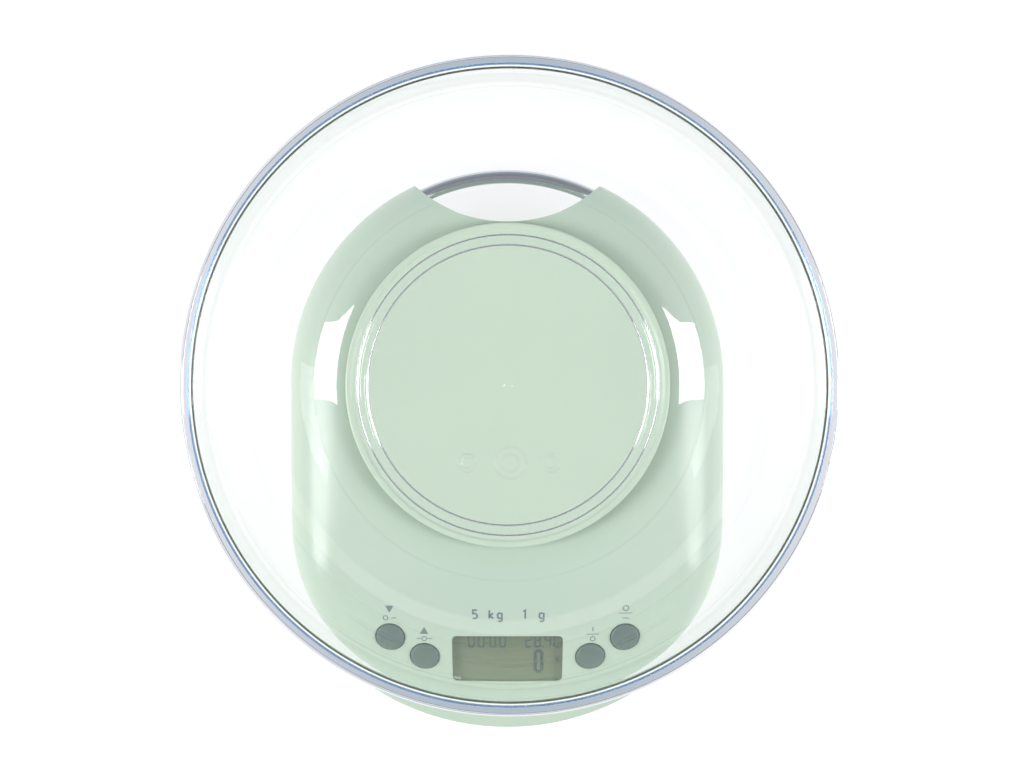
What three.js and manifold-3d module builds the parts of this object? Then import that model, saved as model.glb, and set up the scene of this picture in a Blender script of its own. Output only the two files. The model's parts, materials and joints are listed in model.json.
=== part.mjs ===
// A kitchen scale: a pale green body with a finger cut-out and a hanging bar at the back, a round
// platform that carries a clear bowl, and a sloping front panel with a display and four buttons.
// Millimetres, +Z up, the front towards -Y. Inside the file the platform's axis is x = y = 0, and the
// last lines shift the whole scale so that its origin is under the middle of its bounding box.
import * as THREE from "three";
import Module from "manifold-3d";
import { mergeVertices } from "three/addons/utils/BufferGeometryUtils.js";

const wasm = await Module();
wasm.setup();

// ---------------------------------------------------------------- driving dimensions
const gap = 0.3; // between pieces that touch
const wall = 2.2; // the housing's plastic

const halfWidth = 87.5; // the body
const bodyFront = 137.1;
const backCentreY = 1.6;
const cornerRadius = 78;
const frontRadius = 100;

const footHeight = 3; // heights above the table
const floorTop = 5;
const partingHeight = 14;
const shoulderBase = 17;
const shellTop = 36;

const sideShoulder = 26; // how far the rounded edge reaches in from the outline
const frontShoulder = 14;

const panelSlope = THREE.MathUtils.degToRad(15);
const slopeStart = -64; // the top bends down between these two places
const slopeEnd = -80;

const cutRadius = 52.4; // the finger cut-out
const cutCentreY = 117.2;

const barRadius = 2.75; // the hanging bar
const barBend = 78.7;
const barCentreY = 5.2;
const barHeight = 22;
const barHalfSpan = 42;

const platformRadius = 64;
const platformTop = 42;
const platformFloat = 1.8; // the platform's height above the shell, more than it is pressed
const openingRadius = 45;
const crownRadius = 52; // the innermost ring of the top, inside the rounded edge all round

const bowlBase = platformTop + gap;
const bowlUnderside = bowlBase + 1.7; // of its floor, inside the foot ring
const bowlTop = 127;
const bowlRadius = 121.5;
const bowlInnerRadius = 116.7;
const bowlWall = 2;
const footRingInner = 54.7;
const footRingOuter = 59.3;

const panelCentreY = -111.3; // the display's middle, seen from above
const windowWidth = 44.7;
const windowDepth = 21.1;
const capRadius = 5.8;
const buttons = [
  { name: "unit", x: -47.5, y: 9.7 },
  { name: "tare", x: -33.6, y: 1.2 },
  { name: "power", x: 33.6, y: 1.2 },
  { name: "set", x: 47.5, y: 9.7 },
];

const boardTop = -8.3; // the circuit board, below the panel's surface
const boardThickness = 1.6;
const boardScrewX = 42;
const boardScrewY = -8;

const wellHalfLength = 27; // the battery well
const wellFront = -76;
const wellBack = -52;
const wellTop = 17;
const wellWall = 1.5;
const cellRadius = 5.25;
const cellLength = 44.5;
const cellHeight = 10.9;
const cellPlaces = [-69.8, -58.2];
const tabPlaces = [-17, 17];

const beamWidth = 12.7; // the load cell
const beamLength = 76;
const beamBottom = 8.6;
const beamTop = beamBottom + beamWidth;
const beamScrews = [22, 32];

const footRadius = 8;
const footPlaces = [
  { name: "foot_back_right", x: 60, y: 26 },
  { name: "foot_back_left", x: -60, y: 26 },
  { name: "foot_front_right", x: 52, y: -88 },
  { name: "foot_front_left", x: -52, y: -88 },
];
const screwPlaces = [
  { name: "housing_screw_back_right", x: 58, y: 45 },
  { name: "housing_screw_back_left", x: -58, y: 45 },
  { name: "housing_screw_middle_right", x: 76, y: -30 },
  { name: "housing_screw_middle_left", x: -76, y: -30 },
  { name: "housing_screw_front_right", x: 62, y: -98 },
  { name: "housing_screw_front_left", x: -62, y: -98 },
];
const counterboreTop = 7;
const trayBossTop = 9;

// ---------------------------------------------------------------- finishes
const finish = (color, roughness, metalness = 0) =>
  new THREE.MeshStandardMaterial({ color, roughness, metalness });

const clearFinish = (color, opacity) =>
  new THREE.MeshStandardMaterial({ color, opacity, roughness: 0.05, transparent: true });

const finishes = {
  shell: finish(0xcfe0ce, 0.35),
  tray: finish(0xc3d4c3, 0.5),
  bowl: clearFinish(0xe6eef2, 0.3),
  chrome: finish(0xb4b7ba, 0.15, 1),
  cap: finish(0x788b87, 0.45),
  lens: clearFinish(0xdfe6e2, 0.25),
  display: finish(0x8f9c86, 0.3),
  darkPlastic: finish(0x303536, 0.6),
  rubber: finish(0x55605c, 0.9),
  silicone: finish(0xd9dcd6, 0.7),
  board: finish(0x2f6b46, 0.5),
  aluminium: finish(0xb9bdc1, 0.4, 1),
  steel: finish(0x9fa3a6, 0.35, 1),
  brass: finish(0xc9a24f, 0.35, 1),
  battery: finish(0x3d4a52, 0.4),
  redWire: finish(0xa8322c, 0.5),
  blackWire: finish(0x26292a, 0.5),
  greyWire: finish(0x9a9d9c, 0.5),
};

// ---------------------------------------------------------------- solids
// Turns a closed geometry into a solid, with its shared vertices merged.
function solid(geometry) {
  const bare = geometry.clone();
  bare.deleteAttribute("normal");
  bare.deleteAttribute("uv");
  const merged = mergeVertices(bare, 1e-5);
  const corners = merged.index.array;
  const triangles = [];
  for (let k = 0; k < corners.length; k += 3) {
    const [a, b, c] = corners.subarray(k, k + 3);
    if (a !== b && b !== c && c !== a) triangles.push(a, b, c);
  }
  return new wasm.Manifold(
    new wasm.Mesh({
      numProp: 3,
      vertProperties: new Float32Array(merged.attributes.position.array),
      triVerts: new Uint32Array(triangles),
    }),
  );
}

// Turns a solid back into a geometry.
function geometryOf(body) {
  const mesh = body.getMesh();
  const geometry = new THREE.BufferGeometry();
  geometry.setAttribute("position", new THREE.BufferAttribute(mesh.vertProperties, 3));
  geometry.setIndex(new THREE.BufferAttribute(mesh.triVerts, 1));
  geometry.computeVertexNormals();
  return geometry;
}

const join = (first, ...rest) => rest.reduce((whole, piece) => whole.add(piece), first);
const cut = (first, ...rest) => rest.reduce((whole, piece) => whole.subtract(piece), first);

// A block between two corners.
function block([x0, y0, z0], [x1, y1, z1]) {
  const geometry = new THREE.BoxGeometry(x1 - x0, y1 - y0, z1 - z0);
  geometry.translate((x0 + x1) / 2, (y0 + y1) / 2, (z0 + z1) / 2);
  return solid(geometry);
}

// An upright round post.
function post(radius, z0, z1, x = 0, y = 0, sides = 16) {
  const geometry = new THREE.CylinderGeometry(radius, radius, z1 - z0, sides);
  geometry.rotateX(Math.PI / 2);
  geometry.translate(x, y, (z0 + z1) / 2);
  return solid(geometry);
}

// A solid of revolution about the vertical through (x, y), from [radius, height] points.
function turned(profile, sides, x = 0, y = 0) {
  const points = profile.map(([radius, height]) => new THREE.Vector2(radius, height));
  const geometry = new THREE.LatheGeometry(points, sides);
  geometry.rotateX(Math.PI / 2);
  geometry.translate(x, y, 0);
  return solid(geometry);
}

// A flat outline pushed up from z0 to z1.
function slab(shape, z0, z1) {
  const depth = z1 - z0;
  const geometry = new THREE.ExtrudeGeometry(shape, { depth, bevelEnabled: false, curveSegments: 2 });
  geometry.translate(0, 0, z0);
  return solid(geometry);
}

// A rectangle with rounded corners, about the origin.
function roundedRectangle(width, depth, radius) {
  const [x, y] = [width / 2, depth / 2];
  const shape = new THREE.Shape();
  shape.moveTo(-x + radius, -y);
  shape.lineTo(x - radius, -y);
  shape.absarc(x - radius, -y + radius, radius, -Math.PI / 2, 0);
  shape.lineTo(x, y - radius);
  shape.absarc(x - radius, y - radius, radius, 0, Math.PI / 2);
  shape.lineTo(-x + radius, y);
  shape.absarc(-x + radius, y - radius, radius, Math.PI / 2, Math.PI);
  shape.lineTo(-x, -y + radius);
  shape.absarc(-x + radius, -y + radius, radius, Math.PI, Math.PI * 1.5);
  return shape;
}

// A round section swept along a curve.
function swept(curve, radius, sides, steps) {
  const section = new THREE.Shape();
  section.absarc(0, 0, radius, 0, Math.PI * 2);
  const curveSegments = sides / 2; // three.js doubles it on a full circle
  return solid(new THREE.ExtrudeGeometry(section, { steps, extrudePath: curve, curveSegments }));
}

// A skin through rings of points, closed at both ends by a fan about each end ring's middle.
function lofted(rings) {
  const count = rings[0].length;
  const middle = (ring) => ring.reduce((sum, p) => sum.add(p), new THREE.Vector3()).divideScalar(count);
  const points = [...rings.flat(), middle(rings[0]), middle(rings.at(-1))];
  const triangles = [];
  for (let r = 0; r < rings.length - 1; r++) {
    for (let k = 0; k < count; k++) {
      const next = (k + 1) % count;
      const [a, b, c, d] = [r * count + k, r * count + next, (r + 1) * count + next, (r + 1) * count + k];
      triangles.push(a, b, c, a, c, d);
    }
  }
  const last = (rings.length - 1) * count;
  for (let k = 0; k < count; k++) {
    const next = (k + 1) % count;
    triangles.push(next, k, points.length - 2);
    triangles.push(last + k, last + next, points.length - 1);
  }
  const geometry = new THREE.BufferGeometry().setFromPoints(points);
  geometry.setIndex(triangles);
  return solid(geometry);
}

// ---------------------------------------------------------------- the body's outline and top
// The outline seen from above, anticlockwise: points, each with its outward normal.
function bodyOutline() {
  const sideX = halfWidth - cornerRadius;
  const frontCentreY = frontRadius - bodyFront;
  const frontAngle = Math.asin(sideX / (frontRadius - cornerRadius));
  const cornerY = frontCentreY - (frontRadius - cornerRadius) * Math.cos(frontAngle);
  const down = Math.PI * 1.5;
  const outline = [];
  const arc = (x, y, radius, from, to, steps) => {
    for (let k = 0; k < steps; k++) {
      const angle = from + ((to - from) * k) / steps;
      const normal = new THREE.Vector2(Math.cos(angle), Math.sin(angle));
      outline.push({ point: new THREE.Vector2(x, y).addScaledVector(normal, radius), normal });
    }
  };
  const side = (x, from, to, steps) => {
    for (let k = 0; k < steps; k++) {
      const point = new THREE.Vector2(x, from + ((to - from) * k) / steps);
      outline.push({ point, normal: new THREE.Vector2(Math.sign(x), 0) });
    }
  };
  arc(0, backCentreY, halfWidth, 0, Math.PI, 30);
  side(-halfWidth, backCentreY, cornerY, 3);
  arc(-sideX, cornerY, cornerRadius, Math.PI, down - frontAngle, 8);
  arc(0, frontCentreY, frontRadius, down - frontAngle, down + frontAngle, 8);
  arc(sideX, cornerY, cornerRadius, down + frontAngle, Math.PI * 2, 8);
  side(halfWidth, cornerY, backCentreY, 3);
  return outline;
}

const outline = bodyOutline();

// The height of the body's top at a place y: level, then bending down to the panel.
function topHeight(y) {
  const fall = Math.tan(panelSlope);
  const bend = slopeStart - slopeEnd;
  if (y >= slopeStart) return shellTop;
  if (y <= slopeEnd) return shellTop - fall * ((slopeStart + slopeEnd) / 2 - y);
  return shellTop - (fall * (slopeStart - y) ** 2) / (2 * bend);
}

// How far the rounded edge reaches in, from the sides to the front.
function shoulderReach(y) {
  const share = THREE.MathUtils.smoothstep(y, -95, -40);
  return THREE.MathUtils.lerp(frontShoulder, sideShoulder, share);
}

const insetRing = (inset, z) =>
  outline.map(({ point, normal }) => {
    const place = point.clone().addScaledVector(normal, -inset);
    return new THREE.Vector3(place.x, place.y, z);
  });

// The body's outer form, or its hollow when it is thinned by the wall.
function domeForm(bottom, thinner, shoulderSteps, topSteps) {
  const rings = [insetRing(thinner, bottom)];
  for (let k = 0; k <= shoulderSteps; k++) {
    const angle = ((Math.PI / 2) * k) / shoulderSteps;
    rings.push(
      outline.map(({ point, normal }) => {
        const reach = shoulderReach(point.y) - thinner;
        const inset = thinner + reach * (1 - Math.cos(angle));
        const { x, y } = point.clone().addScaledVector(normal, -inset);
        const rise = topHeight(y) - thinner - shoulderBase;
        return new THREE.Vector3(x, y, shoulderBase + rise * Math.sin(angle));
      }),
    );
  }
  const edge = rings.at(-1);
  for (let k = 1; k <= topSteps; k++) {
    rings.push(
      edge.map((from) => {
        const away = new THREE.Vector2(from.x, from.y);
        const { x, y } = away.clone().lerp(away.clone().setLength(crownRadius), k / topSteps);
        return new THREE.Vector3(x, y, topHeight(y) - thinner);
      }),
    );
  }
  return lofted(rings);
}

const cutCylinder = (grow) => post(cutRadius + grow, -1, shellTop + 1, 0, cutCentreY, 64);

// The hanging bar's centre line: a flat arc about the body's middle.
class BarCurve extends THREE.Curve {
  constructor(halfSpan) {
    super();
    this.halfAngle = Math.asin(halfSpan / barBend);
  }
  getPoint(share, target = new THREE.Vector3()) {
    const angle = this.halfAngle * (2 * share - 1);
    return target.set(barBend * Math.sin(angle), barCentreY + barBend * Math.cos(angle), barHeight);
  }
}

// ---------------------------------------------------------------- the panel's frame
// Things on the panel are placed from the display's middle, with z along the panel's normal.
const panelMatrix = new THREE.Matrix4()
  .makeTranslation(0, panelCentreY, topHeight(panelCentreY))
  .multiply(new THREE.Matrix4().makeRotationX(panelSlope));

const onPanel = (body) => {
  const geometry = geometryOf(body);
  geometry.applyMatrix4(panelMatrix);
  return solid(geometry);
};

// ---------------------------------------------------------------- housings
// The two horns beside the cut-out, where the housing is solid to hold the bar's ends.
const hornBlocks = (grow) =>
  [-1, 1].map((side) => {
    const [near, far] = [side * (28 - grow), side * (47 + grow)];
    return block([Math.min(near, far), 62 - grow, 0], [Math.max(near, far), 90, shellTop]);
  });

function upperHousing() {
  const hollow = cut(domeForm(partingHeight - 1, wall, 5, 3), cutCylinder(wall), ...hornBlocks(0));
  const shell = cut(domeForm(partingHeight + gap, 0, 6, 5), cutCylinder(0), hollow);
  const core = domeForm(footHeight, wall / 2, 3, 2);
  const bossBottom = trayBossTop + gap;
  const screwBosses = screwPlaces.map(({ x, y }) =>
    core.intersect(post(3.6, bossBottom, shellTop, x, y, 12)),
  );
  const boardBosses = [-1, 1].map((side) =>
    onPanel(post(2.8, boardTop + gap, -wall / 2, side * boardScrewX, boardScrewY, 12)),
  );
  const pilots = screwPlaces.map(({ x, y }) => post(1.7, partingHeight - 6, 20, x, y, 8));
  const boardPilots = [-1, 1].map((side) =>
    onPanel(post(1.5, boardTop, -3.2, side * boardScrewX, boardScrewY, 8)),
  );
  const capHoles = buttons.map(({ x, y }) => onPanel(post(capRadius + 0.4, -5, 5, x, y, 18)));
  const windowHole = onPanel(slab(roundedRectangle(windowWidth, windowDepth, 1.8), -5, 5));
  const lensStep = onPanel(slab(roundedRectangle(windowWidth + 3, windowDepth + 3, 1.8), -5, -1));
  const opening = post(openingRadius, shellTop - 5, shellTop + 1, 0, 0, 48);
  const barHole = swept(new BarCurve(barHalfSpan + 1), barRadius + gap, 12, 16);
  const body = join(shell, ...screwBosses, ...boardBosses);
  return cut(body, ...pilots, ...boardPilots, ...capHoles, windowHole, lensStep, opening, barHole);
}

function lowerHousing() {
  const rings = [
    [6, footHeight],
    [3.4, footHeight + 1.2],
    [2, footHeight + 4],
    [1.2, partingHeight],
  ];
  const outer = cut(lofted(rings.map(([inset, z]) => insetRing(inset, z))), cutCylinder(1.2));
  const lipTop = partingHeight + 1.8;
  const lip = cut(lofted([insetRing(2.6, 10), insetRing(2.6, lipTop)]), cutCylinder(2.6));
  const lipGaps = hornBlocks(gap).map((horn) => horn.subtract(block([-60, 0, -1], [60, 100, partingHeight])));
  const hollowRings = [
    [8, floorTop],
    [5, floorTop + 2.5],
    [4, lipTop + 1],
  ];
  const hollow = cut(lofted(hollowRings.map(([inset, z]) => insetRing(inset, z))), cutCylinder(4));
  const tray = cut(join(outer, lip), hollow, ...lipGaps);

  const wellOuter = block(
    [-wellHalfLength - wellWall, wellFront - wellWall, footHeight],
    [wellHalfLength + wellWall, wellBack + wellWall, wellTop + wellWall],
  );
  const wellInner = block([-wellHalfLength, wellFront, 0], [wellHalfLength, wellBack, wellTop]);
  const tabSlots = tabPlaces.map((x) =>
    block([x - 3.5, wellFront - 3, floorTop], [x + 3.5, wellFront + 1, floorTop + 3]),
  );
  const latchNotch = block([-5.5, wellBack - 1, 0], [5.5, wellBack + 2.4, floorTop - 0.2]);
  const tabOpenings = cellPlaces.map((y) =>
    block([wellHalfLength - 1, y - 1.8, cellHeight - 1], [wellHalfLength + 3, y + 1.8, cellHeight + 1]),
  );

  const bosses = screwPlaces.map(({ x, y }) => post(4.4, footHeight, trayBossTop, x, y, 14));
  const counterbores = screwPlaces.map(({ x, y }) => post(3.2, 0, counterboreTop, x, y, 14));
  const screwHoles = screwPlaces.map(({ x, y }) => post(1.7, 0, 12, x, y, 8));
  const footRecesses = footPlaces.map(({ x, y }) => post(footRadius + gap, 0, footHeight + 1.2, x, y, 20));
  const beamHoles = beamScrews.map((y) => post(1.8, 0, 8, 0, -y, 12));
  const beamSinks = beamScrews.map((y) => post(3.1, 0, footHeight + 1.1, 0, -y));

  const body = join(tray, wellOuter, ...bosses);
  const holes = [...counterbores, ...screwHoles, ...footRecesses, ...beamHoles, ...beamSinks];
  return cut(body, wellInner, ...tabSlots, latchNotch, ...tabOpenings, ...holes);
}

// ---------------------------------------------------------------- bowl, platform and bar
// One face of the bowl's wall, thinner millimetres inside its outer face: a tight curve that leaves
// the foot level, then a wide one that ends nearly upright below the rim.
function bowlWallPoints(thinner) {
  const turn = THREE.MathUtils.degToRad(33);
  const rim = THREE.MathUtils.degToRad(84);
  const [tight, wide] = [22, 103.8];
  const foot = [footRingOuter + 0.7, bowlUnderside + 0.2 + tight];
  const centre = [foot[0] - (wide - tight) * Math.sin(turn), foot[1] + (wide - tight) * Math.cos(turn)];
  const arc = ([x, z], radius, from, to, steps) =>
    Array.from({ length: steps }, (_, k) => {
      const angle = from + ((to - from) * k) / (steps - 1);
      return [x + (radius - thinner) * Math.sin(angle), z - (radius - thinner) * Math.cos(angle)];
    });
  return [...arc(foot, tight, 0, turn, 4), ...arc(centre, wide, turn, rim, 7).slice(1)];
}

function bowl() {
  const lipBottom = bowlTop - 2.2;
  const outside = bowlWallPoints(0);
  const inside = bowlWallPoints(bowlWall).reverse();
  return turned(
    [
      [0, bowlUnderside],
      [footRingInner - 0.4, bowlUnderside],
      [footRingInner, bowlBase],
      [footRingOuter, bowlBase],
      [footRingOuter + 0.3, bowlBase + 1],
      ...outside,
      [bowlRadius - 2.4, lipBottom],
      [bowlRadius, lipBottom + 0.1],
      [bowlRadius, bowlTop - 0.4],
      [bowlRadius - 0.4, bowlTop],
      [bowlInnerRadius + 0.7, bowlTop],
      [bowlInnerRadius, bowlTop - 0.7],
      ...inside,
      [0, bowlUnderside + bowlWall],
    ],
    48,
  );
}

function platform() {
  const underside = platformTop - 2.4;
  const skirtBottom = shellTop + platformFloat;
  const hubBottom = 33.3;
  return turned(
    [
      [0, underside],
      [36, underside],
      [36, hubBottom],
      [39, hubBottom],
      [39, underside],
      [platformRadius - 2.8, underside],
      [platformRadius - 2.8, skirtBottom],
      [platformRadius - 0.4, skirtBottom],
      [platformRadius, skirtBottom + 0.4],
      [platformRadius, platformTop + 0.3],
      [platformRadius - 0.5, platformTop + 0.8],
      [platformRadius - 2.1, platformTop + 0.8],
      [platformRadius - 2.8, platformTop],
      [0, platformTop],
    ],
    48,
  );
}

const hangingBar = () => swept(new BarCurve(barHalfSpan), barRadius, 12, 20);

// ---------------------------------------------------------------- weighing mechanism
function loadCell() {
  const [half, middle] = [beamWidth / 2, (beamBottom + beamTop) / 2];
  const beam = block([-half, -beamLength / 2, beamBottom], [half, beamLength / 2, beamTop]);
  const waists = [-7, 7].map((y) => {
    const drill = new THREE.CylinderGeometry(4.6, 4.6, beamWidth + 2, 20);
    drill.rotateZ(Math.PI / 2);
    drill.translate(0, y, middle);
    return solid(drill);
  });
  const slot = block([-half - 1, -7, middle - 1.5], [half + 1, 7, middle + 1.5]);
  const lowHoles = beamScrews.map((y) => post(1.8, beamBottom - 1, 17, 0, -y, 12));
  const highHoles = beamScrews.map((y) => post(1.8, 12.7, beamTop + 1, 0, y, 12));
  return cut(beam, ...waists, slot, ...lowHoles, ...highHoles);
}

function cellBaseBlock() {
  const plate = block([-beamWidth / 2, -38, floorTop + gap], [beamWidth / 2, -16, beamBottom - gap]);
  return cut(plate, ...beamScrews.map((y) => post(1.8, 0, 12, 0, -y, 12)));
}

function platformBracket() {
  const discBottom = 30;
  const discTop = 33;
  const disc = post(40, discBottom, discTop, 0, 0, 40);
  const pedestal = block([-beamWidth / 2, 16, beamTop + gap], [beamWidth / 2, 38, discBottom + 1]);
  const holes = beamScrews.map((y) => post(1.8, 0, 40, 0, y, 12));
  const sinks = beamScrews.map((y) => post(3.1, discTop - 2.2, discTop + 1, 0, y));
  return cut(join(disc, pedestal), ...holes, ...sinks);
}

// A pan-head screw with a cross recess, its head at the lower end when up is 1.
function screw(x, y, headFace, length, shank, head, up) {
  const headHeight = 1.8;
  const rise = (distance) => headFace + up * distance;
  const [headFrom, headTo] = [rise(0), rise(headHeight)].sort((a, b) => a - b);
  const [shankFrom, shankTo] = [rise(headHeight / 2), rise(length)].sort((a, b) => a - b);
  const whole = join(post(head, headFrom, headTo, x, y, 14), post(shank, shankFrom, shankTo, x, y, 8));
  const [low, high] = [rise(-1), rise(0.9)].sort((a, b) => a - b);
  const arm = head * 0.62;
  return cut(
    whole,
    block([x - arm, y - 0.3, low], [x + arm, y + 0.3, high]),
    block([x - 0.3, y - arm, low], [x + 0.3, y + arm, high]),
  );
}

// ---------------------------------------------------------------- parts below the panel
function buttonCap(x, y) {
  return turned(
    [
      [0, -4.9],
      [3, -4.9],
      [3, -4],
      [capRadius + 1.1, -4],
      [capRadius + 1.1, -2.6],
      [capRadius, -2.6],
      [capRadius, 0.5],
      [capRadius - 0.5, 1],
      [0, 1.25],
    ],
    20,
    x,
    y,
  );
}

function siliconeDome(x, y) {
  return turned(
    [
      [0, boardTop + gap],
      [5, boardTop + gap],
      [5, boardTop + 1.1],
      [3.4, -5.2],
      [0, -5.2],
    ],
    16,
    x,
    y,
  );
}

const displayWindow = () => slab(roundedRectangle(windowWidth + 2.4, windowDepth + 2.4, 1.6), -2.3, -1.3);

function lcdFrame() {
  const [width, depth] = [50.4, 30];
  const body = slab(roundedRectangle(width, depth, 1), -6.2, -2.6);
  const sight = slab(roundedRectangle(windowWidth + 0.6, windowDepth + 2.4, 0.6), -8, 0);
  const pocket = slab(roundedRectangle(width - 2.4, depth - 2.4, 0.6), -8, -3.1);
  return cut(body, sight, pocket);
}

const lcdGlass = () => block([-23.6, -13.2, -5.4], [23.6, 13.2, -3.4]);
const zebraStrip = () => block([-22, 10.6, boardTop + gap], [22, 12.6, -5.7]);

function mainBoard() {
  const shape = new THREE.Shape();
  shape.moveTo(-40, -13.5);
  shape.lineTo(40, -13.5);
  shape.lineTo(56, 2);
  shape.lineTo(56, 15.5);
  shape.lineTo(-56, 15.5);
  shape.lineTo(-56, 2);
  shape.closePath();
  const board = slab(shape, boardTop - boardThickness, boardTop);
  const holes = [-1, 1].map((side) => post(1.5, -12, -6, side * boardScrewX, boardScrewY, 12));
  return cut(board, ...holes);
}

const boardBottom = boardTop - boardThickness - gap;
const converterChip = () => block([-20, -3, boardBottom - 1.6], [-10, 3, boardBottom]);

function buzzer() {
  const can = post(6, boardBottom - 5, boardBottom, 22, 4, 20);
  return can.subtract(post(1, boardBottom - 6, boardBottom - 3, 22, 4, 8));
}

function controllerBlob() {
  const points = Array.from({ length: 5 }, (_, k) => {
    const angle = ((Math.PI / 2) * k) / 4;
    return [7 * Math.sin(angle), boardBottom - 1.6 * Math.cos(angle)];
  });
  return turned([...points, [0, boardBottom]], 20, 2, 2);
}

function temperatureSensor() {
  const bead = new THREE.SphereGeometry(1.6, 12, 8);
  bead.translate(50, 10, boardBottom - 2);
  return join(solid(bead), post(0.5, boardBottom - 2, boardBottom, 50, 10, 8));
}

// ---------------------------------------------------------------- batteries and wires
function battery(y, facing) {
  const half = cellLength / 2;
  const can = turned(
    [
      [0, -half],
      [cellRadius - 0.5, -half],
      [cellRadius, -half + 0.5],
      [cellRadius, half - 1.3],
      [cellRadius - 0.6, half - 0.8],
      [1.9, half - 0.8],
      [1.9, half],
      [0, half],
    ],
    20,
  );
  const geometry = geometryOf(can);
  geometry.rotateY((facing * Math.PI) / 2);
  geometry.translate(0, y, cellHeight);
  return geometry;
}

// A contact plate across one cell's end with a solder tab through the well's wall.
function terminal(y) {
  const face = wellHalfLength - 0.8;
  const plate = block([face, y - 4.6, cellHeight - 4], [face + 0.5, y + 4.6, cellHeight + 4]);
  const tab = block([face, y - 1.4, cellHeight - 0.4], [wellHalfLength + 3.6, y + 1.4, cellHeight + 0.4]);
  return join(plate, tab, contactSpring(face, y, -1));
}

// A short cone spring, drawn as its outer form, standing off a plate towards a cell.
function contactSpring(face, y, towards) {
  const length = face - cellLength / 2 - gap;
  const cone = new THREE.CylinderGeometry(1.6, 3.2, length, 14);
  cone.rotateZ((-towards * Math.PI) / 2);
  cone.translate(towards < 0 ? face - length / 2 : -face + length / 2, y, cellHeight);
  return solid(cone);
}

function bridgeContact() {
  const face = wellHalfLength - 0.8;
  const [front, back] = [cellPlaces[0] - 4.6, cellPlaces[1] + 4.6];
  const plate = block([-face - 0.5, front, cellHeight - 4], [-face, back, cellHeight + 4]);
  return join(plate, ...cellPlaces.map((y) => contactSpring(face, y, 1)));
}

function batteryCover() {
  const [front, back] = [wellFront + gap, wellBack - gap];
  const plate = block(
    [-wellHalfLength + gap, front, footHeight],
    [wellHalfLength - gap, back, floorTop],
  );
  const tabs = tabPlaces.flatMap((x) => [
    block([x - 3, front, floorTop - 1], [x + 3, front + 1.6, floorTop + 1.6]),
    block([x - 3, front - 2.2, floorTop + gap], [x + 3, front + 1.6, floorTop + 1.6]),
  ]);
  const tongue = block([-5, back - 1, footHeight + 0.3], [5, back + 1.6, floorTop - 0.6]);
  const grips = [0, 2.4, 4.8].map((step) =>
    block([-9, back - 4 - step, footHeight - 1], [9, back - 2.8 - step, footHeight + 0.6]),
  );
  return cut(join(plate, ...tabs, tongue), ...grips);
}

function wire(points, radius) {
  const curve = new THREE.CatmullRomCurve3(points.map(([x, y, z]) => new THREE.Vector3(x, y, z)));
  return swept(curve, radius, 8, 14);
}

const loadCellCable = () =>
  wire(
    [
      [8.6, -6, 15],
      [9, -24, 13.5],
      [11, -40, 18],
      [12, -54, 21.6],
      [12, -72, 22],
      [12, -85, 21.6],
      [12, -91.4, 21.3],
    ],
    1.1,
  );

const batteryLead = (y, boardX) =>
  wire(
    [
      [31.8, y, cellHeight],
      [boardX - 1, y - 3, cellHeight + 0.5],
      [boardX, -82, 15],
      [boardX, -91.4, 21.3],
    ],
    0.8,
  );

const foot = (x, y) =>
  turned(
    [
      [0, 0],
      [footRadius - 0.8, 0],
      [footRadius, 0.8],
      [footRadius, footHeight + 0.9],
      [0, footHeight + 0.9],
    ],
    20,
    x,
    y,
  );

// ---------------------------------------------------------------- the assembly
const scale = new THREE.Group();
const panel = new THREE.Group();
panel.applyMatrix4(panelMatrix);
scale.add(panel);

function place(name, shape, material, group = scale) {
  const geometry = shape instanceof THREE.BufferGeometry ? shape : geometryOf(shape);
  const mesh = new THREE.Mesh(geometry, finishes[material]);
  mesh.name = name;
  group.add(mesh);
}

place("bowl", bowl(), "bowl");
place("weighing_platform", platform(), "shell");
place("upper_housing", upperHousing(), "shell");
place("lower_housing", lowerHousing(), "tray");
place("hanging_bar", hangingBar(), "chrome");

place("load_cell", loadCell(), "aluminium");
place("strain_gauge_coating", block([-5, -9, beamTop + gap], [5, 9, beamTop + 1.5]), "silicone");
place("cell_base_block", cellBaseBlock(), "steel");
place("platform_bracket", platformBracket(), "aluminium");
place("overload_stop", post(2.5, floorTop + gap, beamBottom - 1.4, 0, 30), "steel");
beamScrews.forEach((y, k) => {
  place(`base_screw_${k + 1}`, screw(0, -y, footHeight - 0.8, 12.6, 1.5, 2.7, 1), "steel");
  place(`bracket_screw_${k + 1}`, screw(0, y, 32.8, 19.4, 1.5, 2.7, -1), "steel");
});

for (const { name, x, y } of buttons) {
  place(`${name}_button`, buttonCap(x, y), "cap", panel);
  place(`${name}_dome`, siliconeDome(x, y), "silicone", panel);
}
place("display_window", displayWindow(), "lens", panel);
place("lcd_glass", lcdGlass(), "display", panel);
place("lcd_frame", lcdFrame(), "darkPlastic", panel);
place("zebra_strip", zebraStrip(), "silicone", panel);
place("main_board", mainBoard(), "board", panel);
place("converter_chip", converterChip(), "darkPlastic", panel);
place("controller_blob", controllerBlob(), "darkPlastic", panel);
place("buzzer", buzzer(), "darkPlastic", panel);
place("temperature_sensor", temperatureSensor(), "darkPlastic", panel);
for (const [side, x] of [["left", -boardScrewX], ["right", boardScrewX]]) {
  place(`board_screw_${side}`, screw(x, boardScrewY, boardBottom - 1.8, 7.5, 1.1, 2.2, 1), "steel", panel);
}

place("battery_front", battery(cellPlaces[0], 1), "battery");
place("battery_back", battery(cellPlaces[1], -1), "battery");
place("terminal_front", terminal(cellPlaces[0]), "brass");
place("terminal_back", terminal(cellPlaces[1]), "brass");
place("bridge_contact", bridgeContact(), "brass");
place("battery_cover", batteryCover(), "tray");
place("load_cell_cable", loadCellCable(), "greyWire");
place("battery_lead_positive", batteryLead(cellPlaces[0], 34), "redWire");
place("battery_lead_negative", batteryLead(cellPlaces[1], 38), "blackWire");

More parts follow.
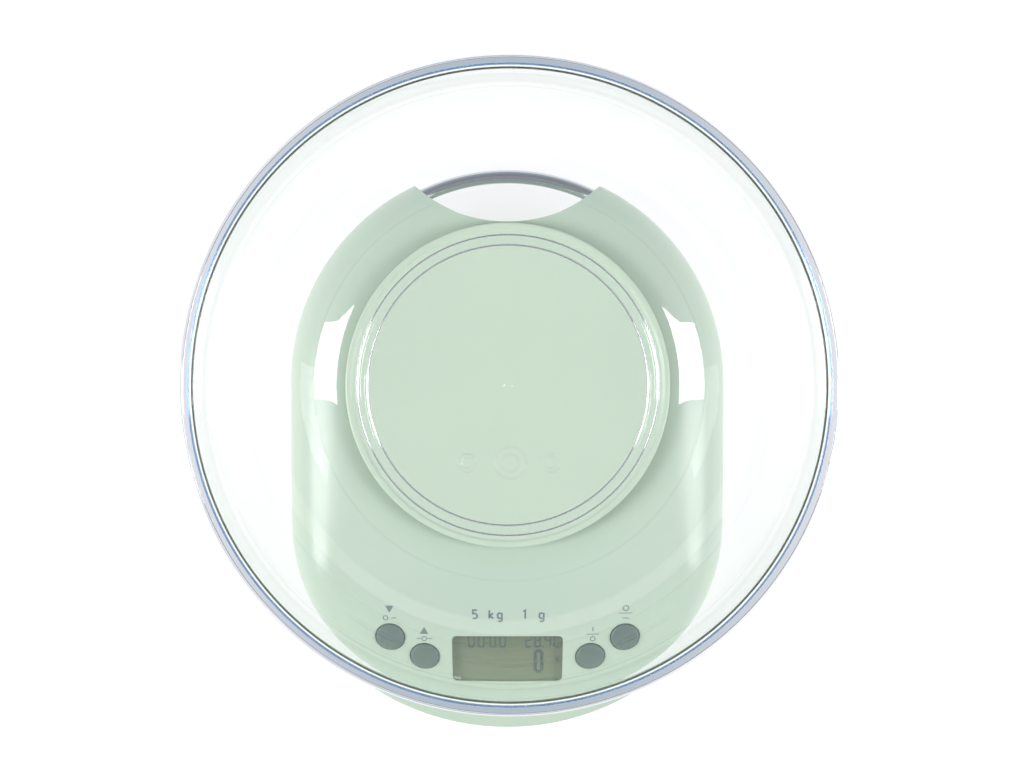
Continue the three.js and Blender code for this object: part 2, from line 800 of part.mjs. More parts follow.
for (const { name, x, y } of footPlaces) place(name, foot(x, y), "rubber");
for (const { name, x, y } of screwPlaces) {
  place(name, screw(x, y, counterboreTop - 0.3 - 1.8, 13, 1.3, 2.8, 1), "steel");
}

scale.position.y = (bodyFront - bowlRadius) / 2;

const model = new THREE.Group();
model.add(scale);
export default model;
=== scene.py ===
"""The looks of a kitchen scale with a clear bowl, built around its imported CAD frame.

Sizes below are millimetres from the middle of the weighing platform, with z above the table, as on a
drawing of the scale. at() turns such a place into metres in the frame's own coordinates.
"""

import json
import math

import bmesh
import bpy
from mathutils import Matrix, Vector
from mathutils.geometry import tessellate_polygon


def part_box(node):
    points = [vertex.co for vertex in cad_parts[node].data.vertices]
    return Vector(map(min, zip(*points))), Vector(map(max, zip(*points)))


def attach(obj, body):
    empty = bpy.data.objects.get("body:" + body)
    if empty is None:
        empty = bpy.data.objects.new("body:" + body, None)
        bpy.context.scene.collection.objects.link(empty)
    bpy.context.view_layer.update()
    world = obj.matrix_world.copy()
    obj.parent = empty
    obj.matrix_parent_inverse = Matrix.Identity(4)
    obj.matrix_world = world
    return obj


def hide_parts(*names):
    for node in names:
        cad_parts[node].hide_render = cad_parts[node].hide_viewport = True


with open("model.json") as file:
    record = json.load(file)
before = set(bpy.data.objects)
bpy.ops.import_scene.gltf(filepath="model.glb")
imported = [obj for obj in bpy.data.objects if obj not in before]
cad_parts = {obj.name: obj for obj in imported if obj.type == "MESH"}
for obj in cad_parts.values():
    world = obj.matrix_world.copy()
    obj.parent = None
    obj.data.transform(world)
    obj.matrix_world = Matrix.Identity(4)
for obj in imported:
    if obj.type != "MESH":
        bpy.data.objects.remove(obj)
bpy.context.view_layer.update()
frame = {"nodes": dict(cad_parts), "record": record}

MM = 0.001
PLATFORM_LOW, PLATFORM_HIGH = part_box("weighing_platform")
AXIS_Y = (PLATFORM_LOW.y + PLATFORM_HIGH.y) / 2
CLEAR_PLASTIC_BOUNCES = 40
SOFTBOX_Y = -0.18
SOFTBOX_AWAY = 1.18
SOFTBOX_HEIGHT = 0.95
SOFTBOX_SIZE = (0.58, 0.86)

# ------------------------------------------------------------------ sizes, as in the CAD model
WALL = 2.2
HALF_WIDTH = 87.5
BODY_FRONT = 137.1
BACK_CENTRE_Y = 1.6
CORNER_RADIUS = 78.0
FRONT_RADIUS = 100.0
PARTING_HEIGHT = 14.0
SHOULDER_BASE = 17.0
SHELL_TOP = 36.0
SIDE_SHOULDER = 26.0
FRONT_SHOULDER = 14.0
PANEL_SLOPE = math.radians(15)
SLOPE_START = -64.0
SLOPE_END = -80.0
CUT_RADIUS = 52.4
CUT_CENTRE_Y = 117.2
BAR_RADIUS = 2.75
BAR_BEND = 78.7
BAR_CENTRE_Y = 5.2
BAR_HEIGHT = 22.0
BAR_HALF_SPAN = 42.0
OPENING_RADIUS = 45.0
CROWN_RADIUS = 52.0
PLATFORM_RADIUS = 64.0
PLATFORM_TOP = 42.0
BOWL_TOP = 127.0
BOWL_RADIUS = 121.5
BOWL_INNER_RADIUS = 116.7
BOWL_WALL = 2.0
TIGHT_CURVE = 22.0
WIDE_CURVE = 103.8
CURVES_MEET = math.radians(33)
CURVE_END = math.radians(84)
BOWL_BASE = 42.3
BOWL_UNDERSIDE = 44.0
LIP_REACH = 2.9
LIP_EDGE = 0.7
LIP_SLOPE = math.radians(44.2)
GATE_RADIUS = 1.7
GATE_HEIGHT = 0.8
FOOT_RING_INNER = 54.7
FOOT_RING_OUTER = 59.3
PANEL_CENTRE_Y = -111.3
WINDOW_WIDTH = 44.7
WINDOW_DEPTH = 21.1
CAP_RADIUS = 5.8
BUTTONS = {"unit": (-47.5, 9.7), "tare": (-33.6, 1.2), "power": (33.6, 1.2), "set": (47.5, 9.7)}


# ------------------------------------------------------------------ places
def at(x, y, z):
    """A place in millimetres from the platform's axis, in metres in the frame."""
    return Vector((x * MM, y * MM + AXIS_Y, z * MM))


def top_height(y):
    """The height of the body's top: level at the back, bending down to the panel in front."""
    fall = math.tan(PANEL_SLOPE)
    if y >= SLOPE_START:
        return SHELL_TOP
    if y <= SLOPE_END:
        return SHELL_TOP - fall * ((SLOPE_START + SLOPE_END) / 2 - y)
    return SHELL_TOP - fall * (SLOPE_START - y) ** 2 / (2 * (SLOPE_START - SLOPE_END))


PANEL = (
    Matrix.Translation(at(0, PANEL_CENTRE_Y, top_height(PANEL_CENTRE_Y)))
    @ Matrix.Rotation(PANEL_SLOPE, 4, "X")
    @ Matrix.Scale(MM, 4)
)
UPRIGHT = Matrix.Translation((0, AXIS_Y, 0)) @ Matrix.Scale(MM, 4)


# ------------------------------------------------------------------ node materials
def socket(shader, name, value):
    shader.inputs[name].default_value = value


class Paint:
    """One node material: its Principled shader, and short ways to drive it from textures."""

    def __init__(self, name, colour, roughness, metallic=0.0, **more):
        self.material = bpy.data.materials.new(name)
        self.material.use_nodes = True
        self.tree = self.material.node_tree
        self.shader = self.tree.nodes["Principled BSDF"]
        self.output = self.tree.nodes["Material Output"]
        self.colour = (*colour, 1.0)
        socket(self.shader, "Base Color", self.colour)
        socket(self.shader, "Roughness", roughness)
        socket(self.shader, "Metallic", metallic)
        for key, value in more.items():
            socket(self.shader, key.replace("_", " "), value)
        self.bump_input = None

    def node(self, kind, **inputs):
        node = self.tree.nodes.new(kind)
        for key, value in inputs.items():
            node.inputs[key.replace("_", " ")].default_value = value
        return node

    def link(self, source, target):
        self.tree.links.new(source, target)

    def place(self):
        """Object coordinates, which stay on the piece as it moves."""
        return self.node("ShaderNodeTexCoord").outputs["Object"]

    def noise(self, per_metre, detail=2.0, stretch=None):
        noise = self.node("ShaderNodeTexNoise", Scale=per_metre, Detail=detail)
        source = self.place()
        if stretch:
            mapping = self.node("ShaderNodeMapping", Scale=stretch)
            self.link(source, mapping.inputs["Vector"])
            source = mapping.outputs["Vector"]
        self.link(source, noise.inputs["Vector"])
        return noise.outputs["Fac"]

    def ramp(self, source, low, high, dark, light):
        """A colour ramp from dark to light between two levels of the source."""
        ramp = self.node("ShaderNodeValToRGB")
        ramp.color_ramp.elements[0].position = low
        ramp.color_ramp.elements[1].position = high
        ramp.color_ramp.elements[0].color = (*dark, 1.0)
        ramp.color_ramp.elements[1].color = (*light, 1.0)
        self.link(source, ramp.inputs["Fac"])
        return ramp.outputs["Color"]

    def vary_colour(self, per_metre, share, detail=2.0):
        """A slight cloudiness of the base colour, share either way."""
        dark = [c * (1 - share) for c in self.colour[:3]]
        light = [min(1.0, c * (1 + share)) for c in self.colour[:3]]
        tint = self.ramp(self.noise(per_metre, detail), 0.3, 0.7, dark, light)
        self.link(tint, self.shader.inputs["Base Color"])

    def vary_roughness(self, per_metre, low, high, stretch=None):
        span = self.node("ShaderNodeMapRange", To_Min=low, To_Max=high)
        self.link(self.noise(per_metre, 3.0, stretch), span.inputs["Value"])
        self.link(span.outputs["Result"], self.shader.inputs["Roughness"])

    def bump(self, source, strength, depth_mm):
        bump = self.node("ShaderNodeBump", Strength=strength, Distance=depth_mm * MM)
        self.link(source, bump.inputs["Height"])
        if self.bump_input is not None:
            self.link(self.bump_input, bump.inputs["Normal"])
        self.bump_input = bump.outputs["Normal"]
        self.link(self.bump_input, self.shader.inputs["Normal"])


def shell_plastic(name, colour):
    """Pale green moulded plastic, satin, with a fine spark-eroded grain."""
    paint = Paint(name, colour, 0.3, IOR=1.5, Coat_Weight=0.15, Coat_Roughness=0.25)
    paint.vary_colour(14, 0.012)
    paint.vary_roughness(260, 0.27, 0.35)
    paint.bump(paint.noise(2600, 1.0), 0.08, 0.02)
    paint.bump(paint.noise(55, 1.0), 0.04, 0.1)
    return paint.material


def tray_plastic():
    """The same plastic with the coarser grain of a base."""
    paint = Paint("green_tray_plastic", (0.55, 0.67, 0.55), 0.45, IOR=1.5)
    paint.vary_colour(18, 0.02)
    paint.vary_roughness(180, 0.4, 0.52)
    paint.bump(paint.noise(1500, 2.0), 0.25, 0.05)
    return paint.material


def let_lamps_through(paint):
    """Clear plastic casts almost no shadow: shadow and bounced rays pass straight through it."""
    path = paint.node("ShaderNodeLightPath")
    either = paint.node("ShaderNodeMath")
    either.operation = "MAXIMUM"
    paint.link(path.outputs["Is Shadow Ray"], either.inputs[0])
    paint.link(path.outputs["Is Diffuse Ray"], either.inputs[1])
    open_air = paint.node("ShaderNodeBsdfTransparent")
    mix = paint.node("ShaderNodeMixShader")
    paint.link(either.outputs["Value"], mix.inputs["Fac"])
    paint.link(paint.shader.outputs["BSDF"], mix.inputs[1])
    paint.link(open_air.outputs["BSDF"], mix.inputs[2])
    paint.link(mix.outputs["Shader"], paint.output.inputs["Surface"])


def bowl_plastic():
    """Clear styrene: water-white when thin, blue-grey where it is seen along its wall."""
    paint = Paint("clear_bowl_plastic", (1.0, 1.0, 1.0), 0.0, IOR=1.58, Transmission_Weight=1.0)
    paint.bump(paint.noise(30, 2.0), 0.03, 0.2)
    let_lamps_through(paint)
    tint = paint.node("ShaderNodeVolumeAbsorption", Color=(0.72, 0.84, 1.0, 1.0), Density=14.0)
    paint.link(tint.outputs["Volume"], paint.output.inputs["Volume"])
    return paint.material


def lens_plastic():
    paint = Paint("clear_lens_plastic", (0.95, 0.98, 0.95), 0.02, IOR=1.49, Transmission_Weight=1.0)
    paint.bump(paint.noise(60, 2.0), 0.04, 0.1)
    let_lamps_through(paint)
    return paint.material


def chrome():
    """Bright plated rod with the faintest drawing marks along it."""
    paint = Paint("chrome_plate", (0.62, 0.635, 0.65), 0.12, 1.0)
    paint.vary_roughness(900, 0.07, 0.15, (1.0, 1.0, 6.0))
    paint.bump(paint.noise(1200, 1.0, (0.2, 1.0, 1.0)), 0.04, 0.02)
    return paint.material


def cap_plastic():
    paint = Paint("grey_cap_plastic", (0.104, 0.15, 0.138), 0.45, IOR=1.5)
    paint.vary_colour(220, 0.05)
    paint.vary_roughness(700, 0.36, 0.5)
    paint.bump(paint.noise(3200, 2.0), 0.22, 0.03)
    return paint.material


def display_film():
    """The olive reflector of a liquid crystal display, darker along its back edge with the painted shade
    of the window's rim.
    """
    paint = Paint("display_film", (0.25, 0.28, 0.195), 0.35, IOR=1.5)
    across = paint.node("ShaderNodeSeparateXYZ")
    paint.link(paint.node("ShaderNodeTexCoord").outputs["Generated"], across.inputs["Vector"])
    # painted shade: the ramp's first colour is the film's own olive, its second a darker olive that
    # stands in for the shadow of the window's rim along the back edge
    tint = paint.ramp(across.outputs["Y"], 0.62, 0.86, (0.185, 0.215, 0.125), (0.13, 0.16, 0.085))
    paint.link(tint, paint.shader.inputs["Base Color"])
    paint.vary_roughness(400, 0.3, 0.4)
    paint.bump(paint.noise(5000, 1.0), 0.1, 0.01)
    return paint.material


def segment_ink():
    paint = Paint("display_segments", (0.055, 0.085, 0.085), 0.4, IOR=1.5)
    paint.vary_colour(900, 0.15)
    return paint.material


def print_ink():
    paint = Paint("panel_print", (0.17, 0.21, 0.22), 0.5, IOR=1.5)
    paint.vary_colour(2500, 0.12)
    paint.bump(paint.noise(6000, 1.0), 0.1, 0.01)
    return paint.material


def grained(name, colour, low, high, per_metre, depth_mm, metallic=0.0, stretch=None):
    """A plain moulded, cast or milled finish: clouded colour, uneven gloss and a fine grain."""
    paint = Paint(name, colour, low, metallic)
    paint.vary_colour(per_metre / 8, 0.04)
    paint.vary_roughness(per_metre, low, high, stretch)
    paint.bump(paint.noise(per_metre, 2.0, stretch), 0.3, depth_mm)
    return paint.material


MATERIALS = {
    "clear_plastic": bowl_plastic(),
    "green_plastic": shell_plastic("green_plastic", (0.53, 0.645, 0.51)),
    "green_tray": tray_plastic(),
    "chrome_bar": chrome(),
    "grey_plastic": cap_plastic(),
    "clear_lens": lens_plastic(),
    "display_glass": display_film(),
    "dark_plastic": grained("dark_plastic", (0.035, 0.04, 0.042), 0.45, 0.6, 1200, 0.03),
    "rubber_feet": grained("foot_rubber", (0.07, 0.08, 0.078), 0.75, 0.9, 1500, 0.06),
    "silicone": grained("silicone", (0.66, 0.68, 0.64), 0.5, 0.65, 900, 0.03),
    "circuit_board": grained("solder_mask", (0.03, 0.16, 0.07), 0.3, 0.45, 700, 0.02),
    "aluminium_parts": grained(
        "milled_aluminium", (0.72, 0.73, 0.75), 0.28, 0.42, 500, 0.02, 1.0, (0.1, 1, 1)
    ),
    "steel_parts": grained("zinc_plate", (0.62, 0.63, 0.64), 0.25, 0.4, 800, 0.02, 1.0),
    "contact_brass": grained("contact_plate", (0.62, 0.46, 0.2), 0.25, 0.4, 700, 0.02, 1.0),
    "battery_jacket": grained("battery_jacket", (0.05, 0.075, 0.09), 0.25, 0.35, 300, 0.02),
    "red_wire": grained("red_wire_sleeve", (0.4, 0.03, 0.025), 0.4, 0.5, 900, 0.02),
    "black_wire": grained("black_wire_sleeve", (0.02, 0.02, 0.022), 0.4, 0.5, 900, 0.02),
    "grey_wire": grained("grey_wire_sleeve", (0.34, 0.35, 0.35), 0.4, 0.5, 900, 0.02),
}
# painted light: the platform is the same plastic as the shell, coloured lighter than the shell's green
# to stand in for the light falling on the raised platform
PLATFORM_PAINTED_LIGHT_PLASTIC = shell_plastic("platform_painted_light_plastic", (0.60, 0.715, 0.56))
SEGMENT_INK = segment_ink()
PRINT_INK = print_ink()


# ------------------------------------------------------------------ mesh helpers
def new_mesh(name, vertices, faces, matrix=UPRIGHT):
    """An object from points in millimetres, put in the frame by the matrix."""
    mesh = bpy.data.meshes.new(name)
    mesh.from_pydata([tuple(v) for v in vertices], [], faces)
    mesh.transform(matrix)
    obj = bpy.data.objects.new(name, mesh)
    bpy.context.scene.collection.objects.link(obj)
    return obj


def finished(obj, body, slot, material=None, replaced=(), sharp=32):
    """Smooth shading, material (the slot's own unless one is given), body and replaced nodes in one go.
    """
    mesh = obj.data
    mesh.materials.clear()
    mesh.materials.append(material or MATERIALS[slot])
    mesh.shade_smooth()
    mesh.set_sharp_from_angle(angle=math.radians(sharp))
    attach(obj, body)
    if replaced:
        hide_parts(*replaced)
    return obj


def with_modifiers_applied(obj):
    depsgraph = bpy.context.evaluated_depsgraph_get()
    mesh = bpy.data.meshes.new_from_object(obj.evaluated_get(depsgraph))
    obj.modifiers.clear()
    obj.data = mesh
    return obj


def carve(obj, cutters, operation="DIFFERENCE"):
    """Cuts each cutter out of obj, or joins it, and removes the cutters."""
    for cutter in cutters:
        modifier = obj.modifiers.new("cut", "BOOLEAN")
        modifier.operation = operation
        modifier.solver = "EXACT"
        modifier.object = cutter
    with_modifiers_applied(obj)
    for cutter in cutters:
        bpy.data.objects.remove(cutter)
    return obj


def eased(obj, width_mm, segments=2, angle=40):
    """Rounds the sharp edges a little, as a mould does."""
    bevel = obj.modifiers.new("eased", "BEVEL")
    bevel.width = width_mm * MM
    bevel.segments = segments
    bevel.limit_method = "ANGLE"
    bevel.angle_limit = math.radians(angle)
    return with_modifiers_applied(obj)


def ring_faces(rings, count):
    """The four-cornered faces between rings of points that follow one another."""
    faces = []
    for low in range(0, (rings - 1) * count, count):
        high = low + count
        for k in range(count):
            n = (k + 1) % count
            faces.append((low + k, low + n, high + n, high + k))
    return faces


def loft(name, rings, matrix=UPRIGHT):
    """A closed skin through rings of points, with a flat face over each end ring."""
    count = len(rings[0])
    faces = ring_faces(len(rings), count)
    last = (len(rings) - 1) * count
    faces.append(tuple(reversed(range(count))))
    faces.append(tuple(range(last, last + count)))
    return new_mesh(name, [p for ring in rings for p in ring], faces, matrix)


def circle(radius, z, x=0.0, y=0.0, sides=48):
    turns = [2 * math.pi * k / sides for k in range(sides)]
    return [(x + radius * math.cos(t), y + radius * math.sin(t), z) for t in turns]


def post(radius, z0, z1, x=0.0, y=0.0, sides=48, matrix=UPRIGHT):
    return loft("post", [circle(radius, z0, x, y, sides), circle(radius, z1, x, y, sides)], matrix)


def block(low, high, matrix=UPRIGHT):
    (x0, y0, z0), (x1, y1, z1) = low, high
    ring = [(x0, y0), (x1, y0), (x1, y1), (x0, y1)]
    return loft("block", [[(x, y, z) for x, y in ring] for z in (z0, z1)], matrix)


def rounded_rectangle(width, depth, radius, z, steps=8, x=0.0, y=0.0):
    points = []
    for turn, (sx, sy) in enumerate([(1, 1), (-1, 1), (-1, -1), (1, -1)]):
        for k in range(steps + 1):
            angle = math.pi / 2 * (turn + k / steps)
            px = sx * (width / 2 - radius) + radius * math.cos(angle)
            py = sy * (depth / 2 - radius) + radius * math.sin(angle)
            points.append((x + px, y + py, z))
    return points


def spin(name, profile, segments, x=0.0, y=0.0, matrix=UPRIGHT):
    """A closed solid of revolution from a profile that starts and ends on the axis."""
    inner = profile[1:-1]
    vertices = [(x, y, profile[0][1]), (x, y, profile[-1][1])]
    for radius, z in inner:
        vertices += circle(radius, z, x, y, segments)
    faces = [tuple(i + 2 for i in face) for face in ring_faces(len(inner), segments)]
    last = 2 + (len(inner) - 1) * segments
    for k in range(segments):
        n = (k + 1) % segments
        faces.append((0, 2 + n, 2 + k))
        faces.append((1, last + k, last + n))
    return new_mesh(name, vertices, faces, matrix)


def softened(corners, steps=4):
    """A profile from (radius, height, fillet) corners, each corner rounded by its fillet."""
    points = []
    for k, (r, z, fillet) in enumerate(corners):
        here = Vector((r, z))
        if fillet <= 0 or k in (0, len(corners) - 1):
            points.append((r, z))
            continue
        before = Vector(corners[k - 1][:2]) - here
        after = Vector(corners[k + 1][:2]) - here
        reach = min(fillet, before.length * 0.49, after.length * 0.49)
        start = here + before.normalized() * reach
        end = here + after.normalized() * reach
        for s in range(steps + 1):
            t = s / steps
            point = start.lerp(here, t).lerp(here.lerp(end, t), t)
            points.append((point.x, point.y))
    return points


# ------------------------------------------------------------------ the body's shell
def body_outline():
    """The outline from above, anticlockwise, as (point, outward normal) pairs."""
    side_x = HALF_WIDTH - CORNER_RADIUS
    front_y = FRONT_RADIUS - BODY_FRONT
    between = FRONT_RADIUS - CORNER_RADIUS
    front_angle = math.asin(side_x / between)
    corner_y = front_y - between * math.cos(front_angle)
    down = math.pi * 1.5
    outline = []

    def arc(x, y, radius, start, stop, steps):
        for k in range(steps):
            angle = start + (stop - start) * k / steps
            normal = Vector((math.cos(angle), math.sin(angle)))
            outline.append((Vector((x, y)) + normal * radius, normal))

    def side(x, start, stop, steps):
        for k in range(steps):
            y = start + (stop - start) * k / steps
            outline.append((Vector((x, y)), Vector((math.copysign(1, x), 0))))

    arc(0, BACK_CENTRE_Y, HALF_WIDTH, 0, math.pi, 72)
    side(-HALF_WIDTH, BACK_CENTRE_Y, corner_y, 12)
    arc(-side_x, corner_y, CORNER_RADIUS, math.pi, down - front_angle, 24)
    arc(0, front_y, FRONT_RADIUS, down - front_angle, down + front_angle, 24)
    arc(side_x, corner_y, CORNER_RADIUS, down + front_angle, 2 * math.pi, 24)
    side(HALF_WIDTH, corner_y, BACK_CENTRE_Y, 12)
    return outline


OUTLINE = body_outline()


def shoulder_reach(y):
    share = min(1.0, max(0.0, (y + 95) / 55))
    share = share * share * (3 - 2 * share)
    return FRONT_SHOULDER + (SIDE_SHOULDER - FRONT_SHOULDER) * share


def inset_ring(inset, z):
    return [(*(point - normal * inset), z) for point, normal in OUTLINE]


def dome(name, bottom, thinner, shoulder_steps, top_steps):
    """The body's outer form, or its hollow when thinned by the wall."""
    rings = [inset_ring(thinner, bottom)]
    for k in range(shoulder_steps + 1):
        angle = math.pi / 2 * k / shoulder_steps
        ring = []
        for point, normal in OUTLINE:
            reach = shoulder_reach(point.y) - thinner
            place = point - normal * (thinner + reach * (1 - math.cos(angle)))
            rise = top_height(place.y) - thinner - SHOULDER_BASE
            ring.append((place.x, place.y, SHOULDER_BASE + rise * math.sin(angle)))
        rings.append(ring)
    edge = rings[-1]
    for k in range(1, top_steps + 1):
        ring = []
        for x, y, _ in edge:
            start = Vector((x, y))
            place = start.lerp(start.normalized() * CROWN_RADIUS, k / top_steps)
            ring.append((place.x, place.y, top_height(place.y) - thinner))
        rings.append(ring)
    return loft(name, rings)


def cut_cylinder(grow, bottom=-1.0, top=SHELL_TOP + 1):
    return post(CUT_RADIUS + grow, bottom, top, 0, CUT_CENTRE_Y, 256)


def bar_ring(angle, radius, sides):
    """One round section of the hanging bar's arc."""
    along = Vector((math.sin(angle), math.cos(angle), 0))
    centre = Vector((0, BAR_CENTRE_Y, BAR_HEIGHT)) + along * BAR_BEND
    ring = []
    for k in range(sides):
        turn = 2 * math.pi * k / sides
        ring.append(centre + along * (radius * math.cos(turn)) + Vector((0, 0, radius * math.sin(turn))))
    return ring


def bar_form(name, half_span, radius, steps, sides):
    half_angle = math.asin(half_span / BAR_BEND)
    angles = [half_angle * (2 * k / steps - 1) for k in range(steps + 1)]
    return loft(name, [bar_ring(a, radius, sides) for a in angles])


def rounded_slot(width, depth, radius, z0, z1):
    rings = [rounded_rectangle(width, depth, radius, z) for z in (z0, z1)]
    return loft("slot", rings, PANEL)


def build_upper_housing():
    shell = dome("housing_shell", PARTING_HEIGHT + 0.3, 0.0, 14, 22)
    hollow = dome("hollow", PARTING_HEIGHT - 1, WALL, 6, 8)
    keep = [cut_cylinder(WALL)]
    for side in (-1, 1):
        near, far = sorted((side * 28, side * 47))
        keep.append(block((near, 62, 0), (far, 90, SHELL_TOP)))
    carve(hollow, keep)
    cutters = [cut_cylinder(0), hollow]
    cutters.append(post(OPENING_RADIUS, SHELL_TOP - 5, SHELL_TOP + 1, sides=128))
    for x, y in BUTTONS.values():
        cutters.append(post(CAP_RADIUS + 0.35, -5, 5, x, y, 64, PANEL))
    cutters.append(rounded_slot(WINDOW_WIDTH, WINDOW_DEPTH, 1.8, -5, 5))
    cutters.append(rounded_slot(WINDOW_WIDTH + 3, WINDOW_DEPTH + 3, 1.8, -5, -1))
    cutters.append(bar_form("bar_hole", BAR_HALF_SPAN + 1, BAR_RADIUS + 0.15, 24, 32))
    carve(shell, cutters)
    eased(shell, 0.35)
    finished(shell, "housing", "green_plastic", replaced=["upper_housing"])


def build_bar():
    bar = bar_form("hanging_rod", BAR_HALF_SPAN, BAR_RADIUS, 96, 40)
    finished(bar, "housing", "chrome_bar", replaced=["hanging_bar"])


def build_platform():
    profile = softened(
        [
            (0, 39.6, 0),
            (36, 39.6, 0.4),
            (36, 33.3, 0.4),
            (39, 33.3, 0.4),
            (39, 39.6, 0.4),
            (PLATFORM_RADIUS - 2.8, 39.6, 0.5),
            (PLATFORM_RADIUS - 2.8, 37.8, 0.3),
            (PLATFORM_RADIUS, 37.8, 0.6),
            (PLATFORM_RADIUS, PLATFORM_TOP + 0.8, 0.9),
            (PLATFORM_RADIUS - 2.3, PLATFORM_TOP + 0.8, 0.6),
            (PLATFORM_RADIUS - 3.0, PLATFORM_TOP, 0.6),
            (0, PLATFORM_TOP, 0),
        ]
    )
    disc = spin("platform_disc", profile, 192)
    finished(disc, "platform", "green_plastic", PLATFORM_PAINTED_LIGHT_PLASTIC, ["weighing_platform"])


# ------------------------------------------------------------------ the bowl
def bowl_wall(thinner):
    """One face of the wall: a tight curve off the foot, then a wide one up to the rim."""
    tight_x = FOOT_RING_OUTER + 0.7
    tight_z = BOWL_UNDERSIDE + 0.2 + TIGHT_CURVE
    apart = WIDE_CURVE - TIGHT_CURVE
    wide_x = tight_x - apart * math.sin(CURVES_MEET)
    wide_z = tight_z + apart * math.cos(CURVES_MEET)
    arcs = (
        (tight_x, tight_z, TIGHT_CURVE, 0, CURVES_MEET, 14),
        (wide_x, wide_z, WIDE_CURVE, CURVES_MEET, CURVE_END, 44),
    )
    points = []
    for x, z, radius, start, stop, steps in arcs:
        reach = radius - thinner
        for k in range(steps):
            angle = start + (stop - start) * k / steps
            points.append((x + reach * math.sin(angle), z - reach * math.cos(angle), 0))
    return points


def foot_ring(steps=16):
    """The half-round bead that the bowl stands on, from its inner edge to its outer one."""
    middle = (FOOT_RING_INNER + FOOT_RING_OUTER) / 2
    reach = (FOOT_RING_OUTER - FOOT_RING_INNER) / 2
    drop = BOWL_UNDERSIDE - BOWL_BASE
    points = []
    for k in range(steps + 1):
        turn = math.pi * (1 - k / steps)
        points.append((middle + reach * math.cos(turn), BOWL_UNDERSIDE - drop * math.sin(turn), 0))
    return points


def build_bowl():
    """The bowl in section; the lip's underside mirrors the surroundings up past the far rim."""
    inside_floor = BOWL_UNDERSIDE + BOWL_WALL
    lip_root = BOWL_TOP - LIP_EDGE - LIP_REACH * math.tan(LIP_SLOPE)
    profile = softened(
        [
            (0, BOWL_UNDERSIDE, 0),
            *foot_ring(),
            *bowl_wall(0),
            (BOWL_RADIUS - LIP_REACH, lip_root, 0),
            (BOWL_RADIUS, BOWL_TOP - LIP_EDGE, 0),
            (BOWL_RADIUS, BOWL_TOP, 0.15),
            (BOWL_INNER_RADIUS + 0.6, BOWL_TOP, 0.9),
            *reversed(bowl_wall(BOWL_WALL)),
            (GATE_RADIUS, inside_floor, 0.4),
            (GATE_RADIUS - 0.5, inside_floor + GATE_HEIGHT, 0.5),
            (0, inside_floor + GATE_HEIGHT, 0),
        ]
    )
    bowl = spin("bowl_shell", profile, 288)
    finished(bowl, "bowl", "clear_plastic", replaced=["bowl"], sharp=30)


# ------------------------------------------------------------------ buttons and display
def build_buttons():
    for name, (x, y) in BUTTONS.items():
        profile = softened(
            [
                (0, -4.9, 0),
                (3, -4.9, 0.3),
                (3, -4, 0.3),
                (CAP_RADIUS + 1.1, -4, 0.3),
                (CAP_RADIUS + 1.1, -2.6, 0.3),
                (CAP_RADIUS, -2.6, 0.2),
                (CAP_RADIUS, 1.05, 0.9),
                (CAP_RADIUS - 1.6, 1.2, 0.5),
                (0, 1.25, 0),
            ]
        )
        cap = spin(f"{name}_cap", profile, 72, x, y, PANEL)
        finished(cap, f"{name}_button", "grey_plastic", replaced=[f"{name}_button"])


def build_display():
    rings = [rounded_rectangle(WINDOW_WIDTH + 2.4, WINDOW_DEPTH + 2.4, 1.6, z) for z in (-2.3, -1.3)]
    lens = loft("display_lens", rings, PANEL)
    eased(lens, 0.15)
    finished(lens, "housing", "clear_lens", replaced=["display_window"])


SEGMENTS = {"0": "abcdef", "2": "abged", "4": "fgbc", "8": "abcdefg", "C": "afed", "g": "abcdfg"}


def digit_bars(figure, x, y, width, height, bar):
    """The seven-segment bars of one figure, each as its low and high corners."""
    gap = bar * 0.15
    half = height / 2
    level = {"a": height, "g": half, "d": 0}
    upright = {"f": (0, half), "b": (width, half), "e": (0, 0), "c": (width, 0)}
    bars = []
    for segment in SEGMENTS[figure]:
        if segment in level:
            middle = y + level[segment]
            bars.append((x + gap, middle - bar / 2, x + width - gap, middle + bar / 2))
        else:
            side, foot = upright[segment]
            bars.append((x + side - bar / 2, y + foot + gap, x + side + bar / 2, y + foot + half - gap))
    return bars


def plates(name, boxes, z, thick, matrix, body, slot, material):
    """Flat rectangles as one piece, each a thin closed block."""
    vertices, faces = [], []
    for x0, y0, x1, y1 in boxes:
        start = len(vertices)
        for height in (z, z + thick):
            vertices += [(x0, y0, height), (x1, y0, height), (x1, y1, height), (x0, y1, height)]
        a, b, c, d, e, f, g, h = range(start, start + 8)
        faces += [(d, c, b, a), (e, f, g, h), (a, b, f, e), (b, c, g, f), (c, d, h, g), (d, a, e, h)]
    return finished(new_mesh(name, vertices, faces, matrix), body, slot, material)


def build_figures():
    """The display's figures: a clock, a temperature and the weight."""
    small = {"y": 4.6, "width": 2.1, "height": 5.6, "bar": 0.7}
    clock = -15.4
    step = 3.9
    colon = 0.8
    boxes = []
    for k in range(4):
        after_colon = colon if k > 1 else 0.0
        boxes += digit_bars("0", clock + step * k + after_colon, **small)
    for height in (1.6, 4.0):
        x = clock + 1.84 * step
        y = small["y"] + height
        boxes.append((x - 0.35, y - 0.35, x + 0.35, y + 0.35))
    for figure, x in (("2", 7.4), ("8", 11.1), ("4", 15.2), ("C", 18.7)):
        boxes += digit_bars(figure, x, **small)
    boxes.append((13.9, small["y"] - 0.35, 14.5, small["y"] + 0.25))
    boxes += digit_bars("0", 11.3, -6.5, 2.6, 9.3, 1.3)
    boxes += digit_bars("g", 19.5, -2.7, 1.2, 2.3, 0.4)
    plates("display_figures", boxes, -3.36, 0.03, PANEL, "housing", "display_glass", SEGMENT_INK)


# ------------------------------------------------------------------ printing on the panel
def triangle(x, y, size, down):
    sign = -1 if down else 1
    base = y - sign * size * 0.42
    return [(x - size / 2, base), (x + size / 2, base), (x, y + sign * size * 0.5)]


